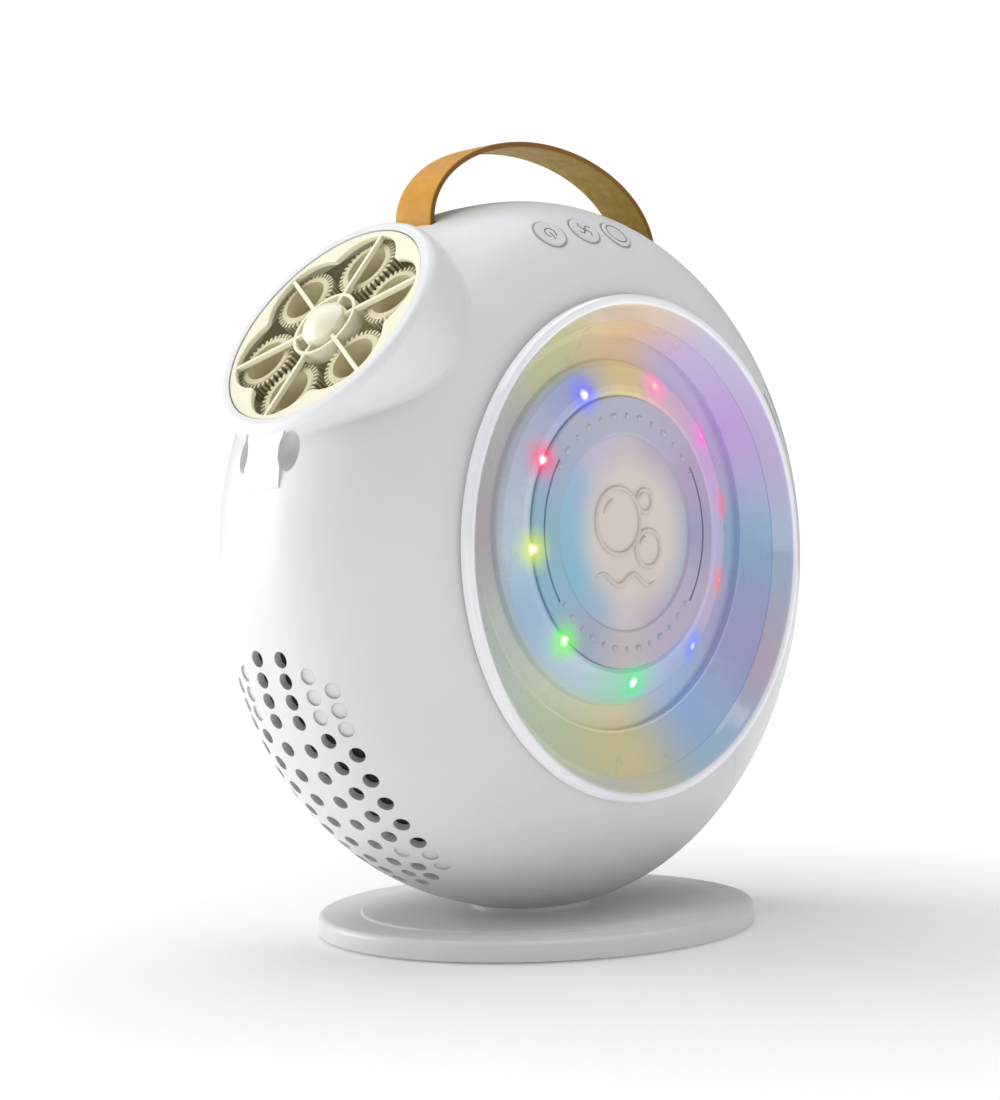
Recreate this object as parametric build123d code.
from build123d import *
import math
import os

# Bubble machine, millimetres, +Z up. The front (where bubbles leave) faces -Y and
# the light panel faces +X. The origin is the centre of the footprint under the base.

# ---------------------------------------------------------------- driving sizes
R = 110.0            # radius of the round body
HX = 53.68           # half thickness of the body along X
NE = 2.59            # exponent of the body's rounded section
ZC = 116.4           # height of the body's centre
WALL = 2.4           # shell wall

HEAD_TILT = 34.7     # the head points forwards and this far up, degrees
HEAD_Y = -86.35      # centre of the guard's face
HEAD_Z = 65.45       # the same, above the body's centre
RIM_IN = 35.0        # inner radius of the head's rim
GUARD_R = 34.75      # radius of the guard plate
CUP_R = 39.1         # outer radius of the head's cup
CH_OUT = 36.2        # outer radius of the solution chamber
CH_IN = 34.9         # inner radius of the solution chamber
RING_PCD = 23.1      # radius on which the six wand rings sit
RING_R = 10.3        # outer radius of a wand ring over its fins
RING_BORE = 7.0      # bore of a wand ring
WHEEL_W = -2.5       # front of the wand rings, behind the guard's face
FINS = 36            # fins on each wand ring
WHEEL_PHASE = 85.7   # angle of the first wand ring at rest
SPOKE_PHASE = 84.0   # angle of the first guard spoke

PZ = 1.5             # the panel's opening sits this far above the body's centre
DZ = 6.4             # the dish's inner rings sit this far above the body's centre
LED_Y = 3.5          # the ring of lights sits this far behind the dish's centre
OPEN_R = 73.6        # radius of the round openings in both sides
REAR_ANG = 53.0      # the rear cover reaches this far above and below the horizontal

STRAP_W = 16.6       # width of the leather strap
STRAP_T = 2.0        # thickness of the leather strap
STRAP_A = 51.4       # half span of the strap's outer face
STRAP_B = 29.6       # rise of the strap's outer face above its legs
STRAP_Z = 99.0       # where the legs end and the arch starts, above the body's centre

TONGUE = 7.6         # half width of the tongue under the head
BASE_X, BASE_Y, BASE_Y0 = 61.2, 75.7, 4.1   # half axes and centre of the oval base
BUTTON_R = 5.2
BUTTON_ANGLES = (105.2, 96.2, 87.8)
BUTTON_X = 32.0
GEAR_M = 1.0         # module of the wheel's gear pair
GEAR_T, PINION_T = 27, 13

os.makedirs("parts", exist_ok=True)
C0 = Pos(0, 0, ZC)
_t = math.radians(HEAD_TILT)
HEAD = Plane(origin=(0, HEAD_Y, ZC + HEAD_Z), x_dir=(1, 0, 0),
             z_dir=(0, -math.cos(_t), math.sin(_t)))
# in the head's own frame +z is outwards along its axis and +y is up its face


def out(node, shape):
    if isinstance(shape, (list, tuple)):
        shape = Compound(children=list(shape))
    export_step(shape, "parts/" + node + ".step")
    return shape


def disc(r, z0, z1, x=0.0, y=0.0):
    """Cylinder along +Z between two heights."""
    return Pos(x, y, (z0 + z1) / 2) * Cylinder(r, abs(z1 - z0))


def tube(ro, ri, z0, z1, x=0.0, y=0.0):
    return disc(ro, z0, z1, x, y) - disc(ri, z0 - 1, z1 + 1, x, y)


def block(x0, x1, y0, y1, z0, z1):
    return Pos((x0 + x1) / 2, (y0 + y1) / 2, (z0 + z1) / 2) * Box(x1 - x0, y1 - y0, z1 - z0)


def xcyl(r, x0, x1, y=0.0, z=0.0):
    """Cylinder along X between two stations, y and z from the body's centre."""
    return Pos((x0 + x1) / 2, y, ZC + z) * Rot(0, 90, 0) * Cylinder(r, abs(x1 - x0))


def xring(ro, ri, x0, x1, y=0.0, z=0.0):
    return xcyl(ro, x0, x1, y, z) - xcyl(ri, x0 - 1, x1 + 1, y, z)


def turned_x(points, z=0.0):
    """Solid turned about the X axis from (radius, x) corners."""
    face = make_face(Polyline(*[(x, r) for r, x in points], close=True))
    return Pos(0, 0, ZC + z) * revolve(face, axis=Axis.X, revolution_arc=360)


def turned_h(points):
    """Solid turned about the head's axis from (radius, z) corners."""
    face = Plane.XZ * make_face(Polyline(*points, close=True))
    return HEAD * revolve(face, axis=Axis.Z, revolution_arc=360)


def profile(off, m=13):
    """Quarter of the body's rounded section, moved in by off: (x, radius)."""
    pts = []
    for i in range(m):
        t = math.pi / 2 * i / (m - 1)
        x = HX * max(math.cos(t), 0.0) ** (2 / NE)
        r = R * max(math.sin(t), 0.0) ** (2 / NE)
        nx, nr = (x / HX) ** (NE - 1) / HX, (r / R) ** (NE - 1) / R
        k = math.hypot(nx, nr)
        pts.append((x - off * nx / k, r - off * nr / k))
    pts[0], pts[-1] = (HX - off, 0.0), (0.0, R - off)
    return pts


def body_solid(off):
    q = profile(off)
    pts = [(-x, r) for x, r in q] + [(x, r) for x, r in reversed(q[:-1])]
    edge = Spline(*pts, tangents=[(0, 1), (0, -1)])
    face = make_face([edge, Line((HX - off, 0), (-(HX - off), 0))])
    return C0 * revolve(face, axis=Axis.X, revolution_arc=360)


def surface(x, ang, depth=0.0):
    """Frame on the body's outside at x and rim angle ang, +z outwards."""
    r = R * (1 - (abs(x) / HX) ** NE) ** (1 / NE)
    nx = math.copysign((abs(x) / HX) ** (NE - 1) / HX, x)
    nr = (r / R) ** (NE - 1) / R
    k = math.hypot(nx, nr)
    a = math.radians(ang)
    n = Vector(nx / k, nr / k * math.cos(a), nr / k * math.sin(a))
    p = Vector(x, r * math.cos(a), ZC + r * math.sin(a)) - n * depth
    return Plane(origin=p, x_dir=(0, -math.sin(a), math.cos(a)), z_dir=n)


def wedge(a0, a1, x0=-60, x1=60, rad=170.0):
    """Block seen as a sector from the side, between two rim angles."""
    pts = [(0.0, 0.0)]
    n = max(2, int((a1 - a0) / 30))
    for i in range(n + 1):
        a = math.radians(a0 + (a1 - a0) * i / n)
        pts.append((rad * math.cos(a), rad * math.sin(a)))
    face = make_face(Polyline(*pts, close=True))
    return Pos(x0, 0, ZC) * (Plane.YZ * extrude(face, amount=x1 - x0))


def ring_band(off0, off1, xlim, a0, a1):
    """Band that follows the shell between two depths, |x| < xlim, from a0 to a1."""
    def line(off):
        res = []
        n = 8
        for i in range(n + 1):
            x = -xlim + 2 * xlim * i / n
            r = R * (1 - (abs(x) / HX) ** NE) ** (1 / NE)
            nx = math.copysign((abs(x) / HX) ** (NE - 1) / HX, x)
            nr = (r / R) ** (NE - 1) / R
            k = math.hypot(nx, nr)
            res.append((x - off * nx / k, r - off * nr / k))
        return res
    lo, hi = line(off1), line(off0)
    edges = [Spline(*hi), Line(hi[-1], lo[-1]), Spline(*reversed(lo)), Line(lo[0], hi[0])]
    face = make_face(edges)
    return C0 * (Rot(a0, 0, 0) * revolve(face, axis=Axis.X, revolution_arc=a1 - a0))


def gear(teeth, m, z0, z1, bore, phase=0.0):
    """Spur gear with slim teeth so that a pair runs with backlash."""
    rp, ra, rf = teeth * m / 2, teeth * m / 2 + 0.85 * m, teeth * m / 2 - 1.15 * m
    pts = []
    for i in range(teeth):
        a = 2 * math.pi * i / teeth + phase
        p = math.pi * m / rp
        for r, f in ((rf, -0.33), (rp, -0.19), (ra, -0.10), (ra, 0.10), (rp, 0.19), (rf, 0.33)):
            pts.append((r * math.cos(a + f * p), r * math.sin(a + f * p)))
    g = Pos(0, 0, z0) * extrude(make_face(Polyline(*pts, close=True)), amount=z1 - z0)
    return g - disc(bore, z0 - 1, z1 + 1)


# ---------------------------------------------------------------- outer solids
outer = body_solid(0.0)
inner = body_solid(WALL)
trim = HEAD * disc(60, 0, 10)
cup_face = make_face([
    Line((0, 0), (36.6, 0)),
    Spline((36.6, 0), (37.9, -0.45), (38.75, -1.6), (CUP_R, -3.4), tangents=[(1, 0), (0, -1)]),
    Line((CUP_R, -3.4), (CUP_R, -38)), Line((CUP_R, -38), (0, -38)), Line((0, -38), (0, 0))])
cup = HEAD * revolve(Plane.XZ * cup_face, axis=Axis.Z, revolution_arc=360)
bulk = (outer - trim) + cup
blend = [e for e in bulk.edges() if e.geom_type == GeomType.BSPLINE
         and e.length > 225 and e.center().Y < -20]
bulk = fillet(blend, 3.2)

# the shell is hollow; the head's cup keeps a thick rim and a seat for the chamber
cup_hollow_face = make_face([
    Line((0, 1), (RIM_IN, 1)), Line((RIM_IN, 1), (RIM_IN, -3.2)), Line((RIM_IN, -3.2), (37.2, -3.2)),
    Line((37.2, -3.2), (37.2, -36)), Line((37.2, -36), (0, -36)), Line((0, -36), (0, 1))])
cup_hollow = HEAD * revolve(Plane.XZ * cup_hollow_face, axis=Axis.Z, revolution_arc=360)
shell = bulk - inner - cup_hollow
shell = shell - xcyl(OPEN_R, 20, 70, z=PZ) - xcyl(OPEN_R, -70, -20, z=PZ)

# ---------------------------------------------------------------- rear cover
rear_wedge = wedge(-REAR_ANG, REAR_ANG)
rear_keep = wedge(-REAR_ANG + 0.08, REAR_ANG - 0.08)
rear = shell & rear_keep
vent_x = [0.03, 0.09, 0.148, 0.205, 0.256, 0.300, 0.338, 0.369, 0.3955]
slots = []
for vx in vent_x:
    for sgn in (1, -1):
        x = sgn * vx * R
        pl = surface(x, 28.2)
        # an arc-shaped slot that runs round the body between two rim angles
        r = R * (1 - (abs(x) / HX) ** NE) ** (1 / NE)
        nx = (abs(x) / HX) ** (NE - 1) / HX
        nr = (r / R) ** (NE - 1) / R
        k = math.hypot(nx, nr)
        nx, nr = sgn * nx / k, nr / k
        tx, tr = -nr, nx
        w = 0.85
        quad = [(x + nx * a + tx * b, r + nr * a + tr * b) for a, b in ((3, -w), (3, w), (-6, w), (-6, -w))]
        cut = C0 * (Rot(21.4, 0, 0) * revolve(make_face(Polyline(*quad, close=True)), axis=Axis.X, revolution_arc=16.8))
        slots.append(cut)
for c in slots:
    rear = rear - c
port_pl = surface(0, -24.0)
rear = rear - port_pl * (Pos(0, 0, -2) * Box(4.0, 9.6, 10))
screw_at = [(15.0, 46.0), (-15.0, 46.0), (15.0, -46.0), (-15.0, -46.0)]
for sx, sa in screw_at:
    pl = surface(sx, sa)
    rear = rear - pl * disc(1.6, -8, 4) - pl * disc(3.1, -1.3, 4)
out("rear_cover", rear)

# ---------------------------------------------------------------- front shell
front = shell - rear_wedge
# tabs under the rear cover take its screws
for a0, a1, b0, b1 in ((40.0, 53.2, 53.1, 58.0), (-53.2, -40.0, -58.0, -53.1)):
    tab = ring_band(2.5, 5.0, 23.0, a0, a1) + ring_band(2.3, 5.0, 23.0, b0, b1)
    front = front + tab
for sx, sa in screw_at:
    front = front - surface(sx, sa) * disc(1.4, -9, 4)

# lower front grille: (x, degrees below the front horizontal)
THROUGH = [(0.046, a) for a in (15.9, 19.2, 22.5, 25.8, 30.6, 35.45, 40.3, 45.15, 50.0, 54.8, 58.6, 61.9)]
THROUGH += [(0.121, a) for a in (28.9, 33.75, 38.6, 43.4, 48.1)] + [(0.112, 56.4), (0.11, 59.7)]
THROUGH += [(0.181, a) for a in (31.9, 36.7, 41.4, 46.15, 50.7)]
DIMPLES = [(0.125, a) for a in (18.5, 21.8, 25.0)] + [(0.182, a) for a in (21.0, 24.25, 27.4)]
DIMPLES += [(0.112, 52.2), (0.178, 54.2), (0.176, 57.5)]
for fx, fa in THROUGH:
    for sgn in (1, -1):
        front = front - surface(sgn * fx * R, 180 + fa) * disc(2.45, -6, 4)
for fx, fa in DIMPLES:
    for sgn in (1, -1):
        front = front - surface(sgn * fx * R, 180 + fa) * disc(2.45, -0.7, 4)

# a tongue runs down from the rim, with a finger hollow on each side of it
tongue_line = [Spline((-106.6, 33.4), (-107.5, 30.0), (-108.1, 26.0), (-108.45, 22.0), (-108.7, 17.4)),
               Line((-108.7, 17.4), (-105.6, 17.4)), Line((-105.6, 17.4), (-103.4, 30.0)), Line((-103.4, 30.0), (-106.6, 33.4))]
tongue = Pos(-TONGUE, 0, ZC) * (Plane.YZ * extrude(make_face(tongue_line), amount=2 * TONGUE))
front = front + tongue
guard_room = HEAD * disc(37.2, -40, 1)
cup_wall = HEAD * disc(38.9, -44, 3)


def scoop(sgn, grow):
    """Finger hollow beside the tongue; it stays clear of the cup's wall."""
    pl = surface(sgn * (TONGUE + 1.7), 165.6)
    return pl * (Rot(sgn * -24, 0, 0) * Pos(0, 0, 0.7) * scale(Sphere(1.0), by=(5.8 + grow, 3.3 + grow, 3.7 + grow)))


for sgn in (1, -1):
    front = front + ((scoop(sgn, 1.7) & outer) - guard_room)
for sgn in (1, -1):
    front = front - (scoop(sgn, 0) - cup_wall)

# holes for the buttons
for a in BUTTON_ANGLES:
    front = front - surface(BUTTON_X, a) * disc(BUTTON_R + 0.1, -9, 4)
# slots for the strap's legs
for sgn in (1, -1):
    yl = sgn * (STRAP_A - STRAP_T / 2)
    front = front - block(-STRAP_W / 2 - 0.4, STRAP_W / 2 + 0.4, yl - STRAP_T / 2 - 0.4, yl + STRAP_T / 2 + 0.4,
                          ZC + 80, ZC + 104)
# screw holes in the foot of the body
BASE_SCREWS = (-13.0, 13.0)
for y in BASE_SCREWS:
    front = front + (disc(5.0, ZC - R + 1.2, ZC - R + 13.0, 0, y) & outer)
    front = front - disc(1.75, -5, ZC - R + 12.0, 0, y)
out("front_shell", front)

# ---------------------------------------------------------------- left cover
left = (outer - inner) & xcyl(OPEN_R - 0.3, -70, -20, z=PZ)
left = left + (xring(OPEN_R - 0.3, OPEN_R - 2.7, -44.2, -38.6, z=PZ) & outer)
left = left + (xring(78.0, 69.0, -40.6, -38.6, z=PZ) & inner)
# shallow round step and a coin-slotted middle, so the plain side is not bare
left = left - (xring(58.0, 57.0, -70, -20, z=PZ) & (outer - body_solid(0.6)))
out("left_cover", left)

# ---------------------------------------------------------------- light panel
dish = turned_x([(0, 37.6), (41.4, 37.6), (41.4, 38.7), (42.6, 39.1), (44.4, 38.9), (50.4, 36.9), (52.0, 35.6),
                 (52.7, 34.2), (59.8, 34.2), (59.8, 36.2), (63.6, 36.2), (63.6, 34.4),
                 (61.8, 32.2), (51.6, 31.9), (50.2, 34.4), (43.6, 36.7), (41.6, 35.6), (0, 35.6)], z=DZ)


def cone(x0, r0, z0, x1, r1, z1, x2, x3):
    """Slanted cone about X through two circles, cut between x2 and x3."""
    def at(x):
        f = (x - x0) / (x1 - x0)
        return r0 + f * (r1 - r0), z0 + f * (z1 - z0)
    secs = []
    for x in (x2, x3):
        r, z = at(x)
        secs.append(Plane(origin=(x, 0, ZC + z), x_dir=(0, 1, 0), z_dir=(1, 0, 0)) * Circle(r))
    return loft(secs, ruled=True)


wall_out = cone(36.2, 62.8, DZ, 42.6, 70.4, PZ, 35.8, 42.6)
wall_mid = cone(36.2, 61.8, DZ, 42.6, 69.4, PZ, 37.0, 42.0)
wall_in = cone(36.2, 60.6, DZ, 42.6, 68.2, PZ, 35.0, 43.6)
dish = dish + (wall_out - wall_in) + (xcyl(78.0, 38.6, 40.4, z=PZ) - wall_mid)
out("light_dish", dish)

bezel = turned_x([(70.75, 40.65), (70.75, 42.75), (68.4, 42.75), (69.3, 43.9), (70.7, 45.6), (72.0, 47.2), (72.8, 48.0),
                  (73.5, 48.4), (74.5, 48.4), (75.2, 48.05), (75.7, 47.3), (75.7, 45.5), (73.5, 46.25), (73.3, 46.25), (73.3, 40.65)], z=PZ)
out("panel_bezel", bezel)

med = turned_x([(0, 37.65), (41.1, 37.65), (41.1, 39.3), (40.7, 39.7), (30.2, 39.7), (29.5, 39.1), (0, 39.1)], z=DZ)
for a0 in (-35, 145):
    face = make_face(Polyline((39.2, 35.9), (40.5, 35.9), (40.5, 36.7), (39.2, 36.7), close=True))
    med = med - Pos(0, 0, ZC + DZ) * (Rot(a0, 0, 0) * revolve(face, axis=Axis.X, revolution_arc=70))
out("medallion", med)

light_box = (xring(71.4, 69.6, 26.0, 38.55, z=PZ) + xcyl(71.4, 24.4, 26.0, z=PZ))
for a in (45, 135, 225, 315):
    light_box = light_box + xcyl(3.0, 26.0, 27.6, y=LED_Y + 44 * math.cos(math.radians(a)), z=DZ + 44 * math.sin(math.radians(a)))
light_box = light_box - xcyl(9.0, 20, 30, y=-30, z=-30)
out("light_box", light_box)
led_board = xring(52.0, 36.0, 27.6, 29.2, y=LED_Y, z=DZ)
out("led_board", led_board)
LED_ANGLES = (76.6, 42.5, 11.6, -17.6, -51.1, -93.2, -134.1, -172.3, 154.5, 120.1)
leds = []
for a in LED_ANGLES:
    y, z = LED_Y + 45.8 * math.cos(math.radians(a)), DZ + 45.8 * math.sin(math.radians(a))
    leds.append(xcyl(2.0, 29.2, 30.8, y=y, z=z) + Pos(30.8, y, ZC + z) * (Sphere(2.0) & block(0, 3, -3, 3, -3, 3)))
out("panel_leds", leds)

# ---------------------------------------------------------------- head: guard
face = Circle(GUARD_R) - Circle(16)
for k in range(6):
    a = math.radians(SPOKE_PHASE + 60 * k)
    face = face - Pos(18.8 * math.cos(a), 18.8 * math.sin(a)) * Circle(14.3)
tips = [v for v in face.vertices() if 26.0 < math.hypot(v.X, v.Y) < 28.0]
face = fillet(tips, 2.2)
guard = Pos(0, 0, -1.9) * extrude(face, amount=1.6)
guard = chamfer(guard.faces().sort_by(Axis.Z)[-1].edges(), 0.2)
for k in range(6):
    a = SPOKE_PHASE + 60 * k
    guard = guard + Rot(0, 0, a) * block(4.0, 33.6, -0.6, 0.6, -1.9, -0.55)
guard = guard + tube(11.3, 10.3, -5.2, -0.5) + disc(7.5, -2.2, -0.95)
guard = guard + tube(GUARD_R - 0.05, 33.75, -5.2, -1.85)
guard = guard - disc(4.05, -9, 2) - disc(7.6, -0.95, 2)
lugs = None
for k in range(3):
    a = 30 + 120 * k
    lug = (tube(35.75, 34.0, -5.0, -3.7) & Rot(0, 0, a) * block(30, 40, -2.2, 2.2, -6, -2))
    guard = guard + lug
guard = guard + (disc(4.05, -2.2, -1.6) - disc(2.0, -3, 0))
out("guard", HEAD * guard)
dome = (Pos(0, 0, 3.6 - 9.505) * Sphere(9.505)) & disc(7.2, 0.3, 6)
hub_cap = HEAD * (dome + disc(7.2, -0.95, 0.3) + disc(4.0, -1.55, -0.95))
out("hub_cap", hub_cap)

# ---------------------------------------------------------------- head: chamber
chamber = tube(CH_OUT, CH_IN, -21.0, -3.25) + disc(CH_OUT, -21.0, -19.5)
chamber = chamber + disc(5.0, -22.5, -17.0)
chamber = chamber - disc(3.0, -30, -10)
# the air comes in behind the top ring
chamber = chamber + disc(8.4, -19.5, -15.8, 0, 24.0)
chamber = chamber - disc(7.0, -30, -10, 0, 24.0)
# sump behind the lower half holds the bubble solution
sump = block(-22, 22, -34, -15.6, -46, -21.0) - block(-20.5, 20.5, -32.5, -17.1, -44.5, -20.0)
chamber = chamber + sump
chamber = chamber - (block(-20.5, 20.5, -32.5, -17.1, -44.5, -18.0) & disc(34.2, -50, -10))
# bayonet pockets for the guard's lugs leave it 15 degrees of turn
for k in range(3):
    a = 30 + 120 * k
    pocket = None
    pts = [(0, 0)]
    for i in range(5):
        t = math.radians(a - 4.6 + i * (4.6 + 15 + 4.6) / 4)
        pts.append((50 * math.cos(t), 50 * math.sin(t)))
    sector = extrude(make_face(Polyline(*pts, close=True)), amount=2.4)
    chamber = chamber - ((Pos(0, 0, -5.4) * sector) & tube(40, 34.0, -6, -2))
out("solution_chamber", HEAD * chamber)
out("chamber_seal", HEAD * tube(37.15, 36.25, -7.6, -6.0))
out("wheel_bush", HEAD * (tube(3.0, 1.56, -23.5, -16.6) + tube(4.2, 1.56, -24.3, -22.55)))

# ---------------------------------------------------------------- bubble wheel
def finned_ring():
    pts = []
    for i in range(FINS):
        a = 2 * math.pi * i / FINS
        p = 2 * math.pi / FINS
        for r, f in ((8.7, -0.34), (RING_R, -0.21), (RING_R, 0.21), (8.7, 0.34)):
            pts.append((r * math.cos(a + f * p), r * math.sin(a + f * p)))
    ring = Pos(0, 0, WHEEL_W - 7.2) * extrude(make_face(Polyline(*pts, close=True)), amount=6.9)
    core = disc(8.9, WHEEL_W - 7.6, WHEEL_W)
    core = chamfer(core.edges().group_by(Axis.Z)[-1], 0.35)
    return ring + core - disc(RING_BORE, -20, 0)


one = finned_ring()
wheel = tube(6.0, 1.52, -14.2, -5.6)
for k in range(6):
    a = WHEEL_PHASE + 60 * k
    arm = Rot(0, 0, a) * block(5.4, 15.0, -1.1, 1.1, -10.0, -6.2)
    wheel = wheel + arm
for k in range(6):
    a = math.radians(WHEEL_PHASE + 60 * k)
    c = Pos(RING_PCD * math.cos(a), RING_PCD * math.sin(a), 0)
    wheel = (wheel - c * disc(RING_BORE + 0.4, -20, 0)) + c * (Rot(0, 0, WHEEL_PHASE + 60 * k) * one)
out("bubble_wheel", HEAD * wheel)
out("wheel_shaft", HEAD * disc(1.5, -30.5, -4.6))
out("wheel_clip", HEAD * tube(3.4, 1.5, -5.55, -4.75))

# ---------------------------------------------------------------- gear pair and motor
MX, CD = -20.0, GEAR_M * (GEAR_T + PINION_T) / 2
out("driven_gear", HEAD * gear(GEAR_T, GEAR_M, -28.3, -24.7, 1.5, phase=0.0))
# the pinion sits at -X of the shaft; a gap of the pinion faces a tooth of the gear
ph = math.pi / PINION_T
gear_tooth_at_pi = (math.pi / (2 * math.pi / GEAR_T)) % 1.0      # 0.5: a gap faces -X
pin_phase = 0.0 if abs(gear_tooth_at_pi - 0.5) < 1e-6 else ph
out("pinion", HEAD * (Pos(MX, 0, 0) * gear(PINION_T, GEAR_M, -28.3, -24.7, 1.0, phase=pin_phase)))
plate = block(-31.5, 8.0, -8.5, 8.5, -31.6, -29.6)
plate = plate - disc(1.56, -40, -20) - disc(3.2, -40, -20, MX, 0)
plate = plate + block(4.0, 8.0, -8.5, 8.5, -40.0, -31.6)
out("gear_plate", HEAD * plate)
motor = disc(10.0, -53.0, -31.6, MX, 0) + disc(3.1, -31.6, -29.9, MX, 0)
motor = motor & block(-40, 10, -8.4, 8.4, -60, 0)
motor = motor + disc(2.4, -54.5, -53.0, MX, 0)
out("wheel_motor", HEAD * motor)
out("motor_pin", HEAD * disc(1.0, -29.9, -24.2, MX, 0))

# ---------------------------------------------------------------- blower
BU, BV = -84.0, 4.0          # scroll centre in the head's frame
hb = HEAD


def hx(r, x0, x1, v=BV, w=BU):
    return Pos((x0 + x1) / 2, v, w) * Rot(0, 90, 0) * Cylinder(r, abs(x1 - x0))


scroll = hx(29.5, -13, 11.5) + block(-13, 11.5, 15.5, 33.5, -84, -50)
scroll = scroll - hx(28.0, -11.5, 12) - block(-11.5, 12, 17.0, 32.0, -84, -49)
scroll = scroll - hx(3.2, -20, 0)
out("blower_housing", hb * scroll)
lid = (hx(29.5, 11.5, 13.0) + block(11.5, 13.0, 15.5, 33.5, -84, -50)) - hx(14.0, 5, 20)
for k in range(3):
    lid = lid + (Pos(12.25, BV, BU) * Rot(60 * k, 0, 0) * Box(1.5, 28.6, 1.6))
out("blower_cover", hb * lid)
duct = block(-13, 13, 15.5, 33.5, -49.95, -21.05) - block(-11.5, 11.5, 17.0, 32.0, -60, -10)
out("air_duct", hb * duct)
imp = hx(21.0, -9.5, -8.0) - hx(1.0, -20, 20)
imp = imp + (hx(4.5, -9.5, 8.0) - hx(1.0, -20, 20))
for k in range(24):
    blade = Box(15.5, 4.2, 0.9)
    blade = Pos(-0.6, BV, BU) * Rot(15 * k, 0, 0) * Pos(0, 18.7, 0) * Rot(35, 0, 0) * blade
    imp = imp + blade
imp = imp + (hx(21.0, 6.2, 7.2) - hx(16.0, 0, 20))
out("fan_impeller", hb * imp)
out("fan_shaft", hb * (hx(1.0, -14.0, 8.5)))
fan_motor = hx(12.0, -35.0, -15.6) + hx(3.1, -15.6, -13.0) + hx(3.0, -36.4, -35.0)
fan_motor = fan_motor - hx(1.06, -14.1, -10)
out("fan_motor", hb * fan_motor)

# ---------------------------------------------------------------- chassis and electronics
chassis = xcyl(88.0, -15.5, -13.6)
behind = HEAD * block(-60, 60, -150, 150, -300, -59.0)
chassis = chassis & behind
chassis = chassis - hb * hx(12.3, -30, 0) - xcyl(9.0, -30, 0, y=40, z=-20) - xcyl(9.0, -30, 0, y=56, z=12)
chassis = chassis - block(-20, 0, -30, 45, ZC - 100, ZC - 60)
out("chassis", chassis)
cell = Pos(-26, 3, ZC - 66.0) * Rot(90, 0, 0) * Cylinder(9.2, 66)
cell = cell + Pos(-26, -30.6, ZC - 66.0) * Rot(90, 0, 0) * Cylinder(3.0, 1.2)
out("battery_cell", cell)
cradle = block(-36.0, -15.55, -35.5, 39.5, ZC - 78.0, ZC - 66.0) - Pos(-26, 3, ZC - 66.0) * Rot(90, 0, 0) * Cylinder(9.3, 68.4)
cradle = cradle - block(-60, 0, -28, 32, ZC - 90, ZC - 76.5)
out("battery_cradle", cradle)
board = block(-24.0, -22.4, 22.0, 72.0, ZC - 34, ZC + 34)
board = board + block(-26.0, -24.0, 30.0, 42.0, ZC - 12, ZC) + block(-25.6, -24.0, 48.0, 56.0, ZC + 8, ZC + 16)
board = board + Pos(-27.0, 60, ZC - 20) * Rot(0, 90, 0) * Cylinder(3.2, 6.0)
for y, z in ((26, 30), (68, 30), (26, -30), (68, -30)):
    board = board + xcyl(2.2, -22.4, -15.5, y=y, z=z)
out("main_board", board)

port = port_pl * (Pos(0, 0, -4.4) * Box(3.2, 8.9, 7.4) - Pos(0, 0, -3.2) * Box(2.4, 8.2, 7.4) + Pos(0, 0, -5.0) * Box(0.7, 6.2, 5.0))
out("charge_port", port)
port_board = port_pl * (Pos(0, 0, -8.9) * Box(14.0, 16.0, 1.6))
out("port_board", port_board)

sp = surface(0, 215.45)
spk = sp * (tube(20.0, 17.0, -10.6, -8.8) + (disc(20, -18.0, -10.6) - disc(18.4, -17.0, -9)) + disc(13.5, -25.0, -18.0))
spk = spk - sp * disc(7.0, -19, -10)
out("speaker_frame", spk)
cone_pts = [(0, -16.5), (6.0, -16.5), (16.8, -9.8), (16.8, -8.9), (15.4, -9.0), (6.0, -14.6), (0, -14.0)]
spk_cone = sp * revolve(Plane.XZ * make_face(Polyline(*cone_pts, close=True)), axis=Axis.Z, revolution_arc=360)
out("speaker_cone", spk_cone)
# dust cloth just inside the grille holes
cloth = ring_band(2.75, 3.35, 27.0, 193.5, 244.5)
out("grille_cloth", cloth)

# ---------------------------------------------------------------- buttons
names = ("power_button", "fan_button", "light_button")
sw = []
mid = surface(BUTTON_X, BUTTON_ANGLES[1])
half = mid * block(-60, 60, -20, 20, -11.0, 20)
for nm, a in zip(names, BUTTON_ANGLES):
    pl = surface(BUTTON_X, a)
    btn = disc(BUTTON_R, -3.9, 0.35)
    btn = chamfer(btn.edges().group_by(Axis.Z)[-1], 0.35)
    btn = btn + disc(6.9, -4.9, -3.9) + disc(1.7, -6.2, -4.9)
    out(nm, pl * btn)
    sw.append((pl * disc(2.6, -16.0, -7.3)) & half)
out("button_switches", sw)
pcb = mid * (Pos(0, 0, -11.8) * Box(52, 15, 1.6))
out("button_board", pcb)

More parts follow.
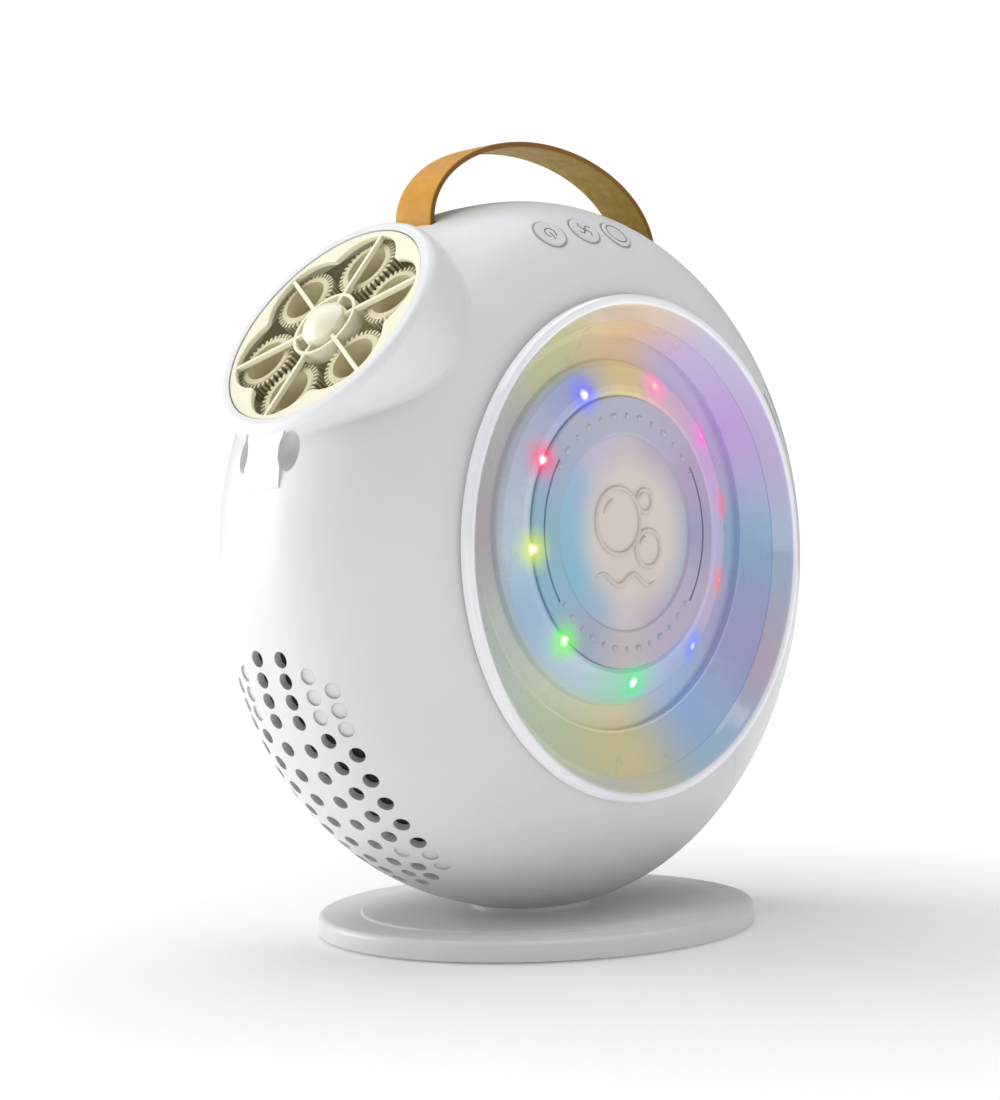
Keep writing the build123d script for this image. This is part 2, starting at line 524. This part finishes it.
# ---------------------------------------------------------------- strap
so = Plane.YZ * Ellipse(STRAP_A, STRAP_B)
si = Plane.YZ * Ellipse(STRAP_A - STRAP_T, STRAP_B - STRAP_T)
arch = extrude(so, amount=STRAP_W / 2, both=True) - extrude(si, amount=STRAP_W / 2 + 2, both=True)
arch = Pos(0, 0, ZC + STRAP_Z) * arch
arch = arch & block(-30, 30, -90, 90, ZC + STRAP_Z, ZC + 200)
strap = arch
for sgn in (1, -1):
    yl = sgn * (STRAP_A - STRAP_T / 2)
    strap = strap + block(-STRAP_W / 2, STRAP_W / 2, yl - STRAP_T / 2, yl + STRAP_T / 2, ZC + 90.35, ZC + STRAP_Z)
out("strap", strap)
anchors = []
for sgn in (1, -1):
    yl = sgn * (STRAP_A - STRAP_T / 2)
    bar = block(-12.3, 12.3, yl - 2.0, yl + 2.0, ZC + 88.3, ZC + 90.3)
    anchors.append(chamfer(bar.edges().filter_by(Axis.X), 0.4))
out("strap_anchors", anchors)

# ---------------------------------------------------------------- base
def oval(ax, ay, z0, z1):
    return Pos(0, BASE_Y0, z0) * extrude(Ellipse(ax, ay), amount=z1 - z0)


base = oval(BASE_X, BASE_Y, 0.6, 6.4)
base = fillet(base.edges().group_by(Axis.Z)[-1], 1.6)
base = chamfer(base.edges().group_by(Axis.Z)[0], 0.5)
plateau = oval(BASE_X - 13.0, BASE_Y - 13.0, 6.0, 7.0)
base = base + chamfer(plateau.edges().group_by(Axis.Z)[-1], 0.55)
base = base + (Pos(0, 0, 5.0) * extrude(Ellipse(15.5, 21.5), amount=3.2))
base = base - oval(BASE_X - 3.0, BASE_Y - 3.0, 0.0, 1.0)
base = base - outer
for y in BASE_SCREWS:
    base = base - disc(2.1, -2, 20, 0, y) - disc(4.0, -2, 3.4, 0, y)
out("base_plate", base)
out("base_pad", oval(BASE_X - 3.1, BASE_Y - 3.1, 0.0, 0.95))
scr = []
for y in BASE_SCREWS:
    s = disc(3.6, 1.1, 3.38, 0, y) + disc(1.7, 3.3, 17.0, 0, y)
    s = s - (Pos(0, y, 1.1) * Box(4.4, 0.9, 2.0)) - (Pos(0, y, 1.1) * Box(0.9, 4.4, 2.0))
    scr.append(s)
out("base_screws", scr)
scr = []
for sx, sa in screw_at:
    s = disc(2.9, -1.28, 0.0) + disc(1.35, -6.5, -1.2)
    s = s - Box(3.6, 0.8, 1.2) - Box(0.8, 3.6, 1.2)
    scr.append(surface(sx, sa) * s)
out("cover_screws", scr)
